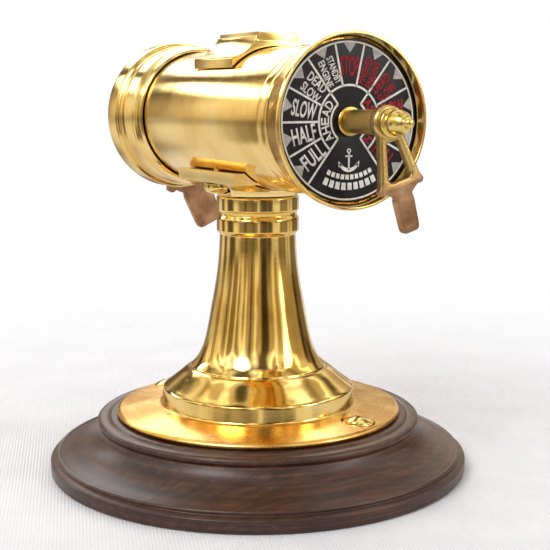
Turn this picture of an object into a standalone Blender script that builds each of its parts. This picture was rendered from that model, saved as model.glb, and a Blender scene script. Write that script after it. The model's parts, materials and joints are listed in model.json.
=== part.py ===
"""Desk-size ship's engine telegraph: brass drum with two dials on a turned column and a wooden base.

The drum lies along Y and its front dial faces -Y. The base stands on the plane z = 0, centred on the Z axis.
"""

import math

import bmesh
import bpy
from mathutils import Matrix

MM = 0.001
GAP = 0.3

# Driving dimensions, in millimetres.
BASE_RADIUS = 63.5
BASE_TOP_Z = 16.3
FELT_RADIUS = 59.0
FELT_THICKNESS = 1.0
FLANGE_RADIUS = 43.4
COLUMN_TOP_Z = 82.7
DRUM_AXIS_Z = 105.5
DRUM_RADIUS = 20.4
DRUM_BORE = 18.6
FRONT_RIM_RADIUS = 23.2
REAR_RIM_RADIUS = 24.0
DIAL_RADIUS = 21.3
DIAL_THICKNESS = 1.0
CARD_THICKNESS = 0.2
SHAFT_RADIUS = 2.0
RUNNING_BORE = 2.15
BUSH_RADIUS = 3.1
BUSH_FLANGE_RADIUS = 3.9
BUSH_FLANGE_THICKNESS = 0.8
SPACER_RADIUS = 3.1
HUB_LENGTH = 3.4
ACORN_RADIUS = 3.3
ACORN_LENGTH = 8.8
LEVER_THICKNESS = 2.6
PAD_HALF_WIDTH = 15.0
PAD_HALF_LENGTH = 12.0
PAD_TOP_Z = 130.1
SADDLE_HALF_WIDTH = 17.6
SADDLE_HALF_LENGTH = 18.0
SADDLE_SCREW_X = 13.0
FLANGE_SCREW_CIRCLE = 37.0
FLANGE_SCREW_ANGLES = (math.radians(-67.5), math.radians(112.5))
BOLT_RADIUS = 2.5

STEPS_LARGE = 32
STEPS_MEDIUM = 20
STEPS_SMALL = 12

# Each end's own sizes, by side: 1 is the front and -1 is the rear.
RIM_OUT = {1: 52.0, -1: 59.0}
LEVER_SIZE = {1: 0.99, -1: 1.44}
GRIP_SLIMMER = {1: 0.8, -1: 0.0}
LEVER_ANGLE = {1: math.radians(16.0), -1: math.radians(24.0)}
HUB_RADIUS = {1: 4.4, -1: 5.8}

# Depths behind each rim's face.
SEAT_DEPTH = 4.6
CARD_DEPTH = SEAT_DEPTH - 2 * GAP - DIAL_THICKNESS - CARD_THICKNESS
BUSH_FACE_DEPTH = CARD_DEPTH - GAP - BUSH_FLANGE_THICKNESS
BUSH_INNER_DEPTH = 9.0

# Places along the shaft, as distances outwards from the drum's middle.
HUB_START = 64.1
ACORN_START = HUB_START + HUB_LENGTH + GAP
ACORN_TIP = ACORN_START + ACORN_LENGTH
THREAD_END = ACORN_START + 4.2

parts = None
cutters = None


def clear_scene():
    for obj in list(bpy.data.objects):
        bpy.data.objects.remove(obj, do_unlink=True)


def new_collection(name, hidden):
    collection = bpy.data.collections.new(name)
    bpy.context.scene.collection.children.link(collection)
    collection.hide_render = hidden
    return collection


def material(name, colour, roughness, metallic):
    made = bpy.data.materials.get(name)
    if made:
        return made
    made = bpy.data.materials.new(name)
    made.use_nodes = True
    shader = made.node_tree.nodes["Principled BSDF"]
    shader.inputs["Base Color"].default_value = (*colour, 1.0)
    shader.inputs["Roughness"].default_value = roughness
    shader.inputs["Metallic"].default_value = metallic
    return made


def brass():
    return material("polished_brass", (0.80, 0.56, 0.22), 0.22, 1.0)


def steel():
    return material("zinc_steel", (0.62, 0.62, 0.60), 0.35, 1.0)


def wood():
    return material("stained_wood", (0.13, 0.055, 0.03), 0.30, 0.0)


def felt():
    return material("green_felt", (0.05, 0.17, 0.09), 0.95, 0.0)


def card():
    return material("printed_card", (0.06, 0.06, 0.06), 0.4, 0.0)


def facing_out(side, angle=0.0):
    """Local +Z points out of the drum's end, local +Y points up and local +X is turned by angle."""
    turn = Matrix.Rotation(math.pi / 2, 4, "X") @ Matrix.Rotation(side * angle, 4, "Z")
    if side < 0:
        turn = Matrix.Rotation(math.pi, 4, "Z") @ turn
    return Matrix.Translation((0.0, 0.0, DRUM_AXIS_Z * MM)) @ turn


def place(obj, finish, matrix):
    obj.matrix_world = matrix
    obj.data.materials.clear()
    obj.data.materials.append(finish)
    return obj


def as_cutter(obj):
    for collection in list(obj.users_collection):
        collection.objects.unlink(obj)
    cutters.objects.link(obj)
    obj.hide_render = True
    obj.display_type = "WIRE"
    return obj


def turned(name, profile, steps, finish, matrix=None, ring=False):
    """A lathe-turned piece: profile is (radius, height) in mm, down the outer side, closed for a ring."""
    mesh = bpy.data.meshes.new(name)
    points = [(radius * MM, 0.0, height * MM) for radius, height in profile]
    edges = [(index, index + 1) for index in range(len(points) - 1)]
    if ring:
        edges.append((len(points) - 1, 0))
    mesh.from_pydata(points, edges, [])
    obj = bpy.data.objects.new(name, mesh)
    parts.objects.link(obj)
    screw = obj.modifiers.new("turn", "SCREW")
    screw.axis = "Z"
    screw.angle = 2 * math.pi
    screw.steps = steps
    screw.render_steps = steps
    screw.use_merge_vertices = True
    screw.merge_threshold = 0.000001
    screw.use_smooth_shade = True
    return place(obj, finish, matrix or Matrix.Identity(4))


def cylinder_cutter(name, radius, low, high, matrix, sides=STEPS_SMALL):
    """A round cutter along the matrix's Z, between two heights in mm."""
    mesh = bpy.data.meshes.new(name)
    shape = bmesh.new()
    bmesh.ops.create_cone(
        shape, cap_ends=True, segments=sides, radius1=radius * MM, radius2=radius * MM, depth=(high - low) * MM
    )
    bmesh.ops.translate(shape, verts=shape.verts, vec=(0.0, 0.0, (high + low) / 2 * MM))
    shape.to_mesh(mesh)
    shape.free()
    obj = bpy.data.objects.new(name, mesh)
    cutters.objects.link(obj)
    obj.matrix_world = matrix
    return as_cutter(obj)


def box(name, size, centre, matrix, collection):
    mesh = bpy.data.meshes.new(name)
    shape = bmesh.new()
    bmesh.ops.create_cube(shape, size=1.0)
    bmesh.ops.scale(shape, verts=shape.verts, vec=[length * MM for length in size])
    bmesh.ops.translate(shape, verts=shape.verts, vec=[place_mm * MM for place_mm in centre])
    shape.to_mesh(mesh)
    shape.free()
    obj = bpy.data.objects.new(name, mesh)
    collection.objects.link(obj)
    obj.matrix_world = matrix
    return obj


def combine(obj, other, operation):
    step = obj.modifiers.new(operation.lower() + "_" + other.name, "BOOLEAN")
    step.object = other
    step.operation = operation
    step.solver = "EXACT"
    return obj


def flat_plate(name, outlines, thickness, middle, finish, matrix):
    """A plate cut to closed outlines in mm (the first outside, the rest windows), centred at height middle."""
    curve = bpy.data.curves.new(name + "_outline", "CURVE")
    curve.dimensions = "2D"
    curve.fill_mode = "BOTH"
    curve.extrude = thickness / 2 * MM
    for outline in outlines:
        spline = curve.splines.new("POLY")
        spline.points.add(len(outline) - 1)
        for point, (across, up) in zip(spline.points, outline):
            point.co = (across * MM, up * MM, 0.0, 1.0)
        spline.use_cyclic_u = True
    drawn = bpy.data.objects.new(name + "_outline", curve)
    parts.objects.link(drawn)
    graph = bpy.context.evaluated_depsgraph_get()
    mesh = bpy.data.meshes.new_from_object(drawn.evaluated_get(graph))
    mesh.name = name
    bpy.data.objects.remove(drawn, do_unlink=True)
    shape = bmesh.new()
    shape.from_mesh(mesh)
    bmesh.ops.remove_doubles(shape, verts=shape.verts, dist=0.000001)
    bmesh.ops.translate(shape, verts=shape.verts, vec=(0.0, 0.0, middle * MM))
    bmesh.ops.recalc_face_normals(shape, faces=shape.faces)
    shape.to_mesh(mesh)
    shape.free()
    obj = bpy.data.objects.new(name, mesh)
    parts.objects.link(obj)
    return place(obj, finish, matrix)


def arc(centre, radius, start, end, count):
    """Points on an arc, by angle in degrees."""
    found = []
    for index in range(count + 1):
        angle = math.radians(start + (end - start) * index / count)
        found.append((centre[0] + radius * math.cos(angle), centre[1] + radius * math.sin(angle)))
    return found


def along(low, high, count, radius_at):
    """Profile points at even heights from high down to low."""
    heights = [high + (low - high) * index / count for index in range(count + 1)]
    return [(radius_at(height), height) for height in heights]


def wooden_base():
    recess = FELT_THICKNESS + GAP
    cove = [(48.8, 13.3), (49.6, 11.7), (51.2, 9.9), (53.6, 8.2), (56.6, 6.8), (59.2, 5.9), (60.4, 5.5)]
    foot_beads = [(60.9, 5.9), (61.5, 5.8), (61.9, 5.3), (61.9, 4.7), (62.7, 4.2)]
    profile = [(2.8, BASE_TOP_Z), (45.4, BASE_TOP_Z), (45.9, 15.7), (46.4, 15.9)]
    profile += arc((48.0, 14.6), 1.3, 95, -40, 5)
    profile += cove
    profile += foot_beads
    profile += [(BASE_RADIUS, 3.8), (BASE_RADIUS, 0.6), (BASE_RADIUS - 0.6, 0.0)]
    profile += [(FELT_RADIUS + GAP, 0.0), (FELT_RADIUS + GAP, recess), (9.4, recess), (9.4, 8.0), (2.8, 8.0)]
    base = turned("wooden_base", profile, STEPS_LARGE, wood(), ring=True)
    for number, angle in enumerate(FLANGE_SCREW_ANGLES, start=1):
        where = Matrix.Translation(screw_place(angle))
        combine(base, cylinder_cutter(f"base_pilot_{number}", 2.2, 5.5, 17.5, where), "DIFFERENCE")
    turned("base_felt", [(0.0, FELT_THICKNESS), (FELT_RADIUS, FELT_THICKNESS), (FELT_RADIUS, 0.0), (0.0, 0.0)],
           STEPS_LARGE, felt())


def screw_place(angle):
    return (FLANGE_SCREW_CIRCLE * math.cos(angle) * MM, FLANGE_SCREW_CIRCLE * math.sin(angle) * MM, 0.0)


def pedestal():
    flange_low = BASE_TOP_Z + GAP
    collars = [(12.1, COLUMN_TOP_Z), (12.4, 82.2), (12.4, 78.4), (11.8, 77.9), (11.6, 76.9), (12.4, 75.9)]
    collars += [(12.4, 72.2), (12.0, 71.4), (11.4, 70.9)]
    bell = [(11.7, 66.0), (12.1, 61.5), (12.8, 56.5), (13.8, 51.0), (14.9, 45.0), (16.1, 39.5)]
    bell += [(17.2, 36.0), (18.7, 33.1), (20.3, 31.3), (20.6, 30.7), (21.3, 30.3)]
    shoulder = [(22.7, 29.3), (25.0, 27.5), (27.2, 25.8), (28.6, 24.8), (29.2, 24.1)]
    flange = [(29.6, 19.9), (30.4, 19.4), (42.5, 18.2), (43.2, 17.8), (FLANGE_RADIUS, 17.3)]
    flange += [(FLANGE_RADIUS - 0.4, flange_low)]
    inside = [(26.0, flange_low), (25.5, 22.5), (19.0, 27.5), (14.6, 33.0), (11.4, 43.0), (9.2, 56.0)]
    inside += [(8.4, 79.6), (2.8, 79.6)]
    profile = [(2.8, COLUMN_TOP_Z)] + collars + bell + shoulder + flange + inside
    column = turned("pedestal", profile, STEPS_LARGE, brass(), ring=True)
    for number, angle in enumerate(FLANGE_SCREW_ANGLES, start=1):
        where = Matrix.Translation(screw_place(angle))
        combine(column, cylinder_cutter(f"flange_seat_{number}", 4.95, 17.4, 22.0, where, 24), "DIFFERENCE")
        combine(column, cylinder_cutter(f"flange_hole_{number}", 2.2, 15.0, 18.0, where), "DIFFERENCE")


def flange_screws():
    """Slotted raised-head wood screws, with their shanks in the wood."""
    profile = [(0.0, 20.1), (1.6, 19.98), (3.0, 19.6), (4.1, 18.95), (4.65, 18.3), (4.65, 17.7), (1.9, 17.7)]
    profile += [(1.9, 8.5), (0.0, 6.4)]
    for number, angle in enumerate(FLANGE_SCREW_ANGLES, start=1):
        where = Matrix.Translation(screw_place(angle))
        screw = turned(f"flange_screw_{number}", profile, STEPS_MEDIUM, brass(), where)
        slot = where @ Matrix.Rotation(math.radians(35.0), 4, "Z")
        combine(screw, as_cutter(box(f"screw_slot_{number}", (12, 1.1, 2), (0, 0, 20.1), slot, cutters)),
                "DIFFERENCE")


def column_bolt():
    """A long bolt from inside the drum, down the column, to a nut under the wood."""
    head_low = DRUM_AXIS_Z - DRUM_BORE + GAP
    shank_end = 2.2
    bolt = [(0.0, head_low + 3.0), (4.2, head_low + 3.0), (4.6, head_low + 2.4), (4.6, head_low + 0.6)]
    bolt += [(BOLT_RADIUS, head_low), (BOLT_RADIUS, shank_end + 0.5), (BOLT_RADIUS - 0.5, shank_end)]
    bolt += [(0.0, shank_end)]
    turned("column_bolt", bolt, STEPS_SMALL, steel())
    washer = [(2.8, 7.7), (8.6, 7.7), (8.6, 6.5), (2.8, 6.5)]
    turned("base_washer", washer, STEPS_MEDIUM, steel(), ring=True)
    nut = [(3.2, 6.2), (4.6, 6.2), (5.0, 5.9), (5.0, 2.8), (4.6, 2.5), (3.2, 2.5)]
    turned("base_nut", nut, 6, steel(), ring=True)


def saddle():
    """The rectangular seat between column and drum, hollowed to the drum and spot-faced for two screws."""
    flare = [(0.0, 88.6), (16.6, 88.6), (16.4, 87.3), (14.6, 86.2), (13.0, 84.8), (12.3, COLUMN_TOP_Z + GAP)]
    flare += [(0.0, COLUMN_TOP_Z + GAP)]
    level = Matrix.Identity(4)
    obj = box("lower_saddle", (2 * SADDLE_HALF_WIDTH, 2 * SADDLE_HALF_LENGTH, 3.4), (0, 0, 88.8), level, parts)
    place(obj, brass(), level)
    combine(obj, as_cutter(turned("saddle_flare", flare, STEPS_MEDIUM, brass())), "UNION")
    drum = cylinder_cutter("saddle_drum", DRUM_RADIUS + GAP, -40, 40, facing_out(1), 80)
    combine(obj, drum, "DIFFERENCE")
    combine(obj, cylinder_cutter("saddle_bolt_way", 2.8, 80, 90, level), "DIFFERENCE")
    for side, name in ((-1, "left"), (1, "right")):
        where = Matrix.Translation((side * SADDLE_SCREW_X * MM, 0.0, 0.0))
        combine(obj, cylinder_cutter(f"spot_face_{name}", 5.1, 82.0, 86.9, where, 24), "DIFFERENCE")
        combine(obj, cylinder_cutter(f"saddle_way_{name}", 1.9, 86.0, 95.0, where), "DIFFERENCE")
        dome = [(0.0, 92.0), (1.6, 92.0), (1.6, 86.6), (4.6, 86.6), (4.6, 85.4), (3.9, 84.3), (2.4, 83.6)]
        dome += [(0.0, 83.4)]
        turned(f"saddle_screw_{name}", dome, STEPS_MEDIUM, brass(), where)


def mouth(rim_radius, side):
    """The profile round a rim's face, and the one back in to the seat of its dial."""
    rim = RIM_OUT[side]
    lip = [(DIAL_RADIUS + 1.1, rim), (rim_radius - 0.2, rim), (rim_radius, rim - 0.3)]
    seat = [(DIAL_RADIUS + GAP, rim - SEAT_DEPTH), (DIAL_RADIUS + GAP + 0.1, rim - SEAT_DEPTH + 2.0)]
    return lip, seat


def drum():
    """The barrel: a tube with two scribed rings, flared out to its front rim."""
    rim = RIM_OUT[1]
    flare_start = rim - 11.0
    flare_end = rim - 1.5
    rear_end = SEAT_DEPTH + GAP - RIM_OUT[-1]

    def outer(out):
        rise = max(0.0, (out - flare_start) / (flare_end - flare_start))
        return DRUM_RADIUS + (FRONT_RIM_RADIUS - DRUM_RADIUS) * rise ** 1.2

    lip, seat = mouth(FRONT_RIM_RADIUS, 1)
    profile = lip + along(flare_start, flare_end, 7, outer)
    for scribed in (rim - 12.2, rim - 16.0):
        profile += [(DRUM_RADIUS, scribed + 0.3), (DRUM_RADIUS - 0.25, scribed), (DRUM_RADIUS, scribed - 0.3)]
    profile += [(DRUM_RADIUS, rear_end), (DRUM_BORE, rear_end), (DRUM_BORE, rim - SEAT_DEPTH)] + seat
    barrel = turned("barrel", profile, STEPS_LARGE, brass(), facing_out(1), ring=True)
    level = Matrix.Identity(4)
    combine(barrel, cylinder_cutter("barrel_bolt_way", 2.8, 80, 90, level), "DIFFERENCE")
    for side, name in ((-1, "left"), (1, "right")):
        where = Matrix.Translation((side * SADDLE_SCREW_X * MM, 0.0, 0.0))
        combine(barrel, cylinder_cutter(f"barrel_way_{name}", 1.9, 86.0, 95.0, where), "DIFFERENCE")
    for number, along_y in enumerate((-6.0, 6.0), start=1):
        where = Matrix.Translation((0.0, along_y * MM, 0.0))
        combine(barrel, cylinder_cutter(f"barrel_top_way_{number}", 1.6, 120.0, 128.0, where), "DIFFERENCE")


def rear_bezel():
    """The stepped ring pushed over the drum's rear end, which holds the rear dial."""
    sleeve = DRUM_RADIUS + GAP
    rim = RIM_OUT[-1]
    steps = [(24.0, 6.6), (23.7, 7.3), (23.0, 7.9), (22.9, 9.6), (22.5, 10.4), (22.4, 16.6), (22.1, 17.5)]
    steps += [(21.7, 19.4), (21.5, 20.8), (sleeve, 21.4)]
    lip, seat = mouth(REAR_RIM_RADIUS, -1)
    profile = lip + [(radius, rim - depth) for radius, depth in steps] + [(sleeve, rim - SEAT_DEPTH)] + seat
    turned("rear_bezel", profile, STEPS_LARGE, brass(), facing_out(-1), ring=True)


def top_pad():
    """The raised pad on top of the drum, arched underneath, with concave shoulders."""
    reach = math.degrees(math.asin((PAD_HALF_WIDTH - 0.2) / (DRUM_RADIUS + GAP)))
    arch = arc((0.0, 0.0), DRUM_RADIUS + GAP, 90 - reach, 90 + reach, 16)
    half = [(PAD_HALF_WIDTH, 17.0)]
    half += arc((PAD_HALF_WIDTH + 1.0, 27.5), 10.0, 262, 203, 6)
    half += [(6.2, PAD_TOP_Z - DRUM_AXIS_Z - 2.4), (6.2, PAD_TOP_Z - DRUM_AXIS_Z)]
    other_half = [(-across, up) for across, up in reversed(half)]
    corner = (PAD_HALF_WIDTH, 14.6)
    outline = [corner] + half + other_half + [(-corner[0], corner[1])] + list(reversed(arch))
    pad = flat_plate("top_pad", [outline], 2 * PAD_HALF_LENGTH, 0.0, brass(), facing_out(1))
    for number, along_y in enumerate((-6.0, 6.0), start=1):
        where = Matrix.Translation((0.0, along_y * MM, 0.0))
        combine(pad, cylinder_cutter(f"pad_way_{number}", 1.6, 120.0, 128.9, where), "DIFFERENCE")
        screw = [(0.0, 128.5), (1.3, 128.5), (1.3, 123.8), (2.6, 123.8), (2.6, 122.9), (1.8, 122.2)]
        screw += [(0.0, 122.0)]
        turned(f"pad_screw_{number}", screw, STEPS_SMALL, steel(), where)


def dial(side, name):
    """One end's dial: the backing plate, the printed card in front of it and the flanged bush through both."""
    facing = facing_out(side)
    rim = RIM_OUT[side]
    plate_back = rim - SEAT_DEPTH + GAP
    plate_face = plate_back + DIAL_THICKNESS
    card_face = rim - CARD_DEPTH
    card_back = card_face - CARD_THICKNESS
    hole = BUSH_RADIUS + GAP
    plate = [(hole, plate_face), (DIAL_RADIUS, plate_face), (DIAL_RADIUS, plate_back), (hole, plate_back)]
    turned(f"{name}_dial_plate", plate, STEPS_LARGE, brass(), facing, ring=True)
    sheet = [(hole, card_face), (DIAL_RADIUS, card_face), (DIAL_RADIUS, card_back), (hole, card_back)]
    turned(f"{name}_dial_card", sheet, STEPS_LARGE, card(), facing, ring=True)
    face = rim - BUSH_FACE_DEPTH
    inner = rim - BUSH_INNER_DEPTH
    flange_low = card_face + GAP
    bush = [(RUNNING_BORE, face), (BUSH_FLANGE_RADIUS - 0.3, face), (BUSH_FLANGE_RADIUS, face - 0.3)]
    bush += [(BUSH_FLANGE_RADIUS, flange_low), (BUSH_RADIUS, flange_low), (BUSH_RADIUS, inner)]
    bush += [(RUNNING_BORE, inner)]
    turned(f"{name}_bush", bush, STEPS_MEDIUM, brass(), facing, ring=True)


def lever_outline(size, slimmer):
    """Half of the lever's outline, from its eye down to its grip, and half of its window."""
    leg = [(3.3, -2.2), (4.0, -5.0), (5.2, -11.0), (6.2, -15.0), (7.2, -16.6), (6.2, -17.9), (5.0, -17.5)]
    grip = [(4.2, -18.6), (3.3, -19.2), (3.7, -20.4), (3.5, -27.6)]
    grip += arc((2.2, -28.0), 1.2, 0, -90, 4)
    grip = [(across - slimmer, up) for across, up in grip]
    window = [(1.7, -5.4), (3.0, -13.8), (2.6, -14.8)]
    return [[(across * size, up * size) for across, up in half] for half in (leg + grip, window)]


def mirrored(half):
    return half + [(-across, up) for across, up in reversed(half)]


def lever(side, name):
    """One end's spacer, lever and acorn nut, all fixed on the shaft."""
    facing = facing_out(side, LEVER_ANGLE[side])
    bore = SHAFT_RADIUS + GAP
    spacer_start = RIM_OUT[side] - BUSH_FACE_DEPTH + GAP
    spacer_end = HUB_START - GAP
    spacer = [(bore, spacer_end), (SPACER_RADIUS - 0.2, spacer_end), (SPACER_RADIUS, spacer_end - 0.2)]
    spacer += [(SPACER_RADIUS, spacer_start + 0.2), (SPACER_RADIUS - 0.2, spacer_start), (bore, spacer_start)]
    turned(f"{name}_spacer", spacer, STEPS_MEDIUM, brass(), facing, ring=True)

    outlines = [mirrored(half) for half in lever_outline(LEVER_SIZE[side], GRIP_SLIMMER[side])]
    hub_end = HUB_START + HUB_LENGTH
    middle = (HUB_START + hub_end) / 2
    plate = flat_plate(f"{name}_lever", outlines, LEVER_THICKNESS, middle, brass(), facing)
    edge = HUB_RADIUS[side]
    hub = [(0.0, hub_end), (edge - 0.8, hub_end), (edge, hub_end - 0.9), (edge, HUB_START + 0.9)]
    hub += [(edge - 0.8, HUB_START), (0.0, HUB_START)]
    combine(plate, as_cutter(turned(f"{name}_hub", hub, STEPS_MEDIUM, brass(), facing)), "UNION")
    combine(plate, cylinder_cutter(f"{name}_hub_bore", bore, HUB_START - 1, hub_end + 1, facing), "DIFFERENCE")

    acorn = [(0.0, ACORN_TIP), (0.6, ACORN_TIP - 0.25), (1.1, ACORN_TIP - 1.0)]
    acorn += [(ACORN_RADIUS * math.sin(turn), ACORN_START + 2.5 + 4.9 * math.cos(turn))
              for turn in (math.radians(angle) for angle in (30, 45, 60, 75, 90))]
    acorn += [(ACORN_RADIUS - 0.4, ACORN_START + 1.5), (ACORN_RADIUS + 0.5, ACORN_START + 1.1)]
    acorn += [(ACORN_RADIUS + 0.5, ACORN_START + 0.3), (ACORN_RADIUS + 0.2, ACORN_START), (bore, ACORN_START)]
    acorn += [(bore, THREAD_END), (0.0, THREAD_END)]
    turned(f"{name}_acorn_nut", acorn, STEPS_MEDIUM, brass(), facing)


def shaft():
    """The one shaft through the drum, with the two collars and the spring washer that keep it in place."""
    end = THREAD_END - GAP
    rod = [(0.0, end), (SHAFT_RADIUS - 0.4, end), (SHAFT_RADIUS, end - 0.4)]
    rod += [(radius, -height) for radius, height in reversed(rod)]
    turned("lever_shaft", rod, STEPS_SMALL, steel(), facing_out(1))
    bore = SHAFT_RADIUS + GAP
    spring_room = 1.5
    for side, name in ((1, "front"), (-1, "rear")):
        facing = facing_out(side)
        outer = RIM_OUT[side] - BUSH_INNER_DEPTH - GAP
        if side < 0:
            outer -= spring_room
        ring = [(bore, outer), (4.7, outer), (5.0, outer - 0.3), (5.0, outer - 4.7), (4.7, outer - 5.0)]
        ring += [(bore, outer - 5.0)]
        collar = turned(f"{name}_shaft_collar", ring, STEPS_MEDIUM, brass(), facing, ring=True)
        across = facing @ Matrix.Translation((0.0, 0.0, (outer - 2.5) * MM))
        across = across @ Matrix.Rotation(math.pi / 2, 4, "X")
        combine(collar, cylinder_cutter(f"{name}_set_way", 1.3, 0.0, 7.0, across, 12), "DIFFERENCE")
        grub = [(0.0, 5.2), (1.0, 5.2), (1.0, 2.4), (0.0, 2.4)]
        turned(f"{name}_set_screw", grub, 12, steel(), across)
    washer_face = RIM_OUT[-1] - BUSH_INNER_DEPTH - GAP
    washer = [(bore, washer_face), (3.0, washer_face - 0.2), (4.3, washer_face - 0.9), (4.3, washer_face - 1.2)]
    washer += [(3.0, washer_face - 0.6), (bore, washer_face - 0.4)]
    turned("spring_washer", washer, STEPS_MEDIUM, steel(), facing_out(-1), ring=True)


def build():
    global parts, cutters
    clear_scene()
    parts = new_collection("engine_telegraph", False)
    cutters = new_collection("cutters", True)
    wooden_base()
    pedestal()
    flange_screws()
    column_bolt()
    saddle()
    drum()
    rear_bezel()
    top_pad()
    for side, name in ((1, "front"), (-1, "rear")):
        dial(side, name)
        lever(side, name)
    shaft()


build()
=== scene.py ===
"""Looks of the desk-size ship's engine telegraph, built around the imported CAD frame."""

import json
import math

import bmesh
import bpy
from mathutils import Matrix, Vector

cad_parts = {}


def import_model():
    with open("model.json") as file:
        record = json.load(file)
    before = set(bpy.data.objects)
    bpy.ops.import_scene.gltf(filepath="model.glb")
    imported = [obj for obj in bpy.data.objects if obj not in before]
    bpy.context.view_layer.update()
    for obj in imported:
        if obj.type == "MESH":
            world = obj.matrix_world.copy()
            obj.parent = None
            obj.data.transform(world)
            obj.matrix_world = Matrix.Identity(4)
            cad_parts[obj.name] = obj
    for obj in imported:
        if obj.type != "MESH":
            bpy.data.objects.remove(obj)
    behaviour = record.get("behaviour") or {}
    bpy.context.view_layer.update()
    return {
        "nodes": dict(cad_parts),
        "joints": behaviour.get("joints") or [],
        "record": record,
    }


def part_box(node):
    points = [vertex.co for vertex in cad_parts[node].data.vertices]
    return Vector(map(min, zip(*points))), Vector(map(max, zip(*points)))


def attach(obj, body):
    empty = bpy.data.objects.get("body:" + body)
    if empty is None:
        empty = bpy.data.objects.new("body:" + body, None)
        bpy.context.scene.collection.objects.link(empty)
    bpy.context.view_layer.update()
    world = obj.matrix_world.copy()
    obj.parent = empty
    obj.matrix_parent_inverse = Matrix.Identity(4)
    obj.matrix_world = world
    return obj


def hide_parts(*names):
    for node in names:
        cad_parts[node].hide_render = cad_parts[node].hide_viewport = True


MM = 0.001
STEPS = 144
LEVEL = Matrix.Identity(4)
GAP = 0.3

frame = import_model()
nodes = frame["nodes"]
record = frame["record"]
slot_of = {entry["node"]: entry["material_slot"] for entry in record["subparts"]}
body_of = {node: body for body, members in record["behaviour"]["bodies"].items() for node in members}


def box_mm(node):
    low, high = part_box(node)
    return low / MM, high / MM


# Sizes in millimetres, read from the frame. A side is 1 at the front and -1 at the rear.
SIDES = {1: "front", -1: "rear"}


def out_of(node_name, side):
    """How far out of the drum's middle a node starts and ends, along its side."""
    low, high = box_mm(node_name)
    return (-high.y, -low.y) if side > 0 else (low.y, high.y)


AXIS_Z = frame["joints"][0]["pos_m"][2] / MM
BASE_RADIUS = box_mm("wooden_base")[1].x
BASE_TOP = box_mm("wooden_base")[1].z
PEDESTAL_HIGH = box_mm("pedestal")[1]
FLANGE_RADIUS = PEDESTAL_HIGH.x
COLUMN_TOP = PEDESTAL_HIGH.z
PAD_LOW, PAD_HIGH = box_mm("top_pad")
RIM_OUT = {1: out_of("barrel", 1)[1], -1: out_of("rear_bezel", -1)[1]}
FRONT_RIM_RADIUS = box_mm("barrel")[1].x
REAR_RIM_RADIUS = box_mm("rear_bezel")[1].x
DRUM_RADIUS = 20.4
DRUM_BORE = 18.6
DIAL_RADIUS = box_mm("front_dial_card")[1].x
SEAT_DEPTH = 4.6
CARD_FACE = {side: out_of(f"{name}_dial_card", side)[1] for side, name in SIDES.items()}
BUSH_OUT = {side: out_of(f"{name}_bush", side) for side, name in SIDES.items()}
BUSH_RADIUS = box_mm("front_bush")[1].x
SPACER_OUT = {side: out_of(f"{name}_spacer", side) for side, name in SIDES.items()}
SPACER_RADIUS = box_mm("front_spacer")[1].x
HUB_START, HUB_END = out_of("front_lever", 1)
HUB_RADIUS = {1: 4.4, -1: 5.8}
ACORN_START, ACORN_TIP = out_of("front_acorn_nut", 1)
ACORN_RADIUS = 3.3
LEVER_ANGLE = {1: math.radians(16.0), -1: math.radians(24.0)}
LEVER_SIZE = {1: 0.99, -1: 1.44}
GRIP_SLIMMER = {1: 0.8, -1: 0.0}
LEVER_THICKNESS = 2.6
BOLT_WAY = 2.8
SADDLE_SCREW_WAY = 1.9
SHAFT_WAY = 2.3
THREAD_DEPTH = 4.2
BUSH_BORE = 2.15
BUSH_TUBE_RADIUS = 3.1
CARD_HOLE_RADIUS = 3.4
CARD_THICKNESS = 0.2
PRINT_LOW = 0.01
PRINT_HIGH = 0.05
FLANGE_SCREW_ANGLES = (math.radians(-67.5), math.radians(112.5))
FLANGE_SCREW_CIRCLE = 37.0
FLANGE_SCREW_TOP = 20.1
FELT_RECESS_RADIUS = 59.3
FELT_RECESS_TOP = 1.3
NUT_RECESS_RADIUS = 9.4
NUT_RECESS_TOP = 8.0
SADDLE_SCREW_X = (box_mm("saddle_screw_right")[0].x + box_mm("saddle_screw_right")[1].x) / 2


# ---------------------------------------------------------------- materials

def new_material(name):
    made = bpy.data.materials.new(name)
    made.use_nodes = True
    tree = made.node_tree
    return made, tree, tree.nodes["Principled BSDF"]


def node(tree, kind, **values):
    """A new shader node. A value named in_X sets its input X, and any other sets a property."""
    made = tree.nodes.new(kind)
    for name, value in values.items():
        if name.startswith("in_"):
            made.inputs[name.removeprefix("in_")].default_value = value
        else:
            setattr(made, name, value)
    return made


def feed(tree, value, socket):
    """Sets an input to a number or a plain colour, or links another socket to it."""
    if isinstance(value, (int, float)):
        socket.default_value = value
    elif isinstance(value, tuple):
        socket.default_value = (*value, 1.0)
    else:
        tree.links.new(value, socket)


def math_node(tree, operation, first, second):
    made = node(tree, "ShaderNodeMath", operation=operation)
    feed(tree, first, made.inputs[0])
    feed(tree, second, made.inputs[1])
    return made.outputs[0]


def blended(tree, factor, first, second, way="MIX"):
    """Two colours mixed or multiplied. A factor of 0 leaves the first as it is."""
    mix = node(tree, "ShaderNodeMix", data_type="RGBA", blend_type=way)
    feed(tree, factor, mix.inputs["Factor"])
    feed(tree, first, mix.inputs[6])
    feed(tree, second, mix.inputs[7])
    return mix.outputs[2]


def ramp(tree, source, stops):
    made = node(tree, "ShaderNodeValToRGB")
    elements = made.color_ramp.elements
    while len(elements) < len(stops):
        elements.new(0.5)
    for element, (place, colour) in zip(elements, stops):
        element.position = place
        element.color = (*colour, 1.0)
    tree.links.new(source, made.inputs[0])
    return made.outputs[0]


def noise(tree, vector, scale, detail=3.0, roughness=0.5):
    made = node(tree, "ShaderNodeTexNoise")
    made.inputs["Scale"].default_value = scale
    made.inputs["Detail"].default_value = detail
    made.inputs["Roughness"].default_value = roughness
    tree.links.new(vector, made.inputs["Vector"])
    return made.outputs[0]


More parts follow.
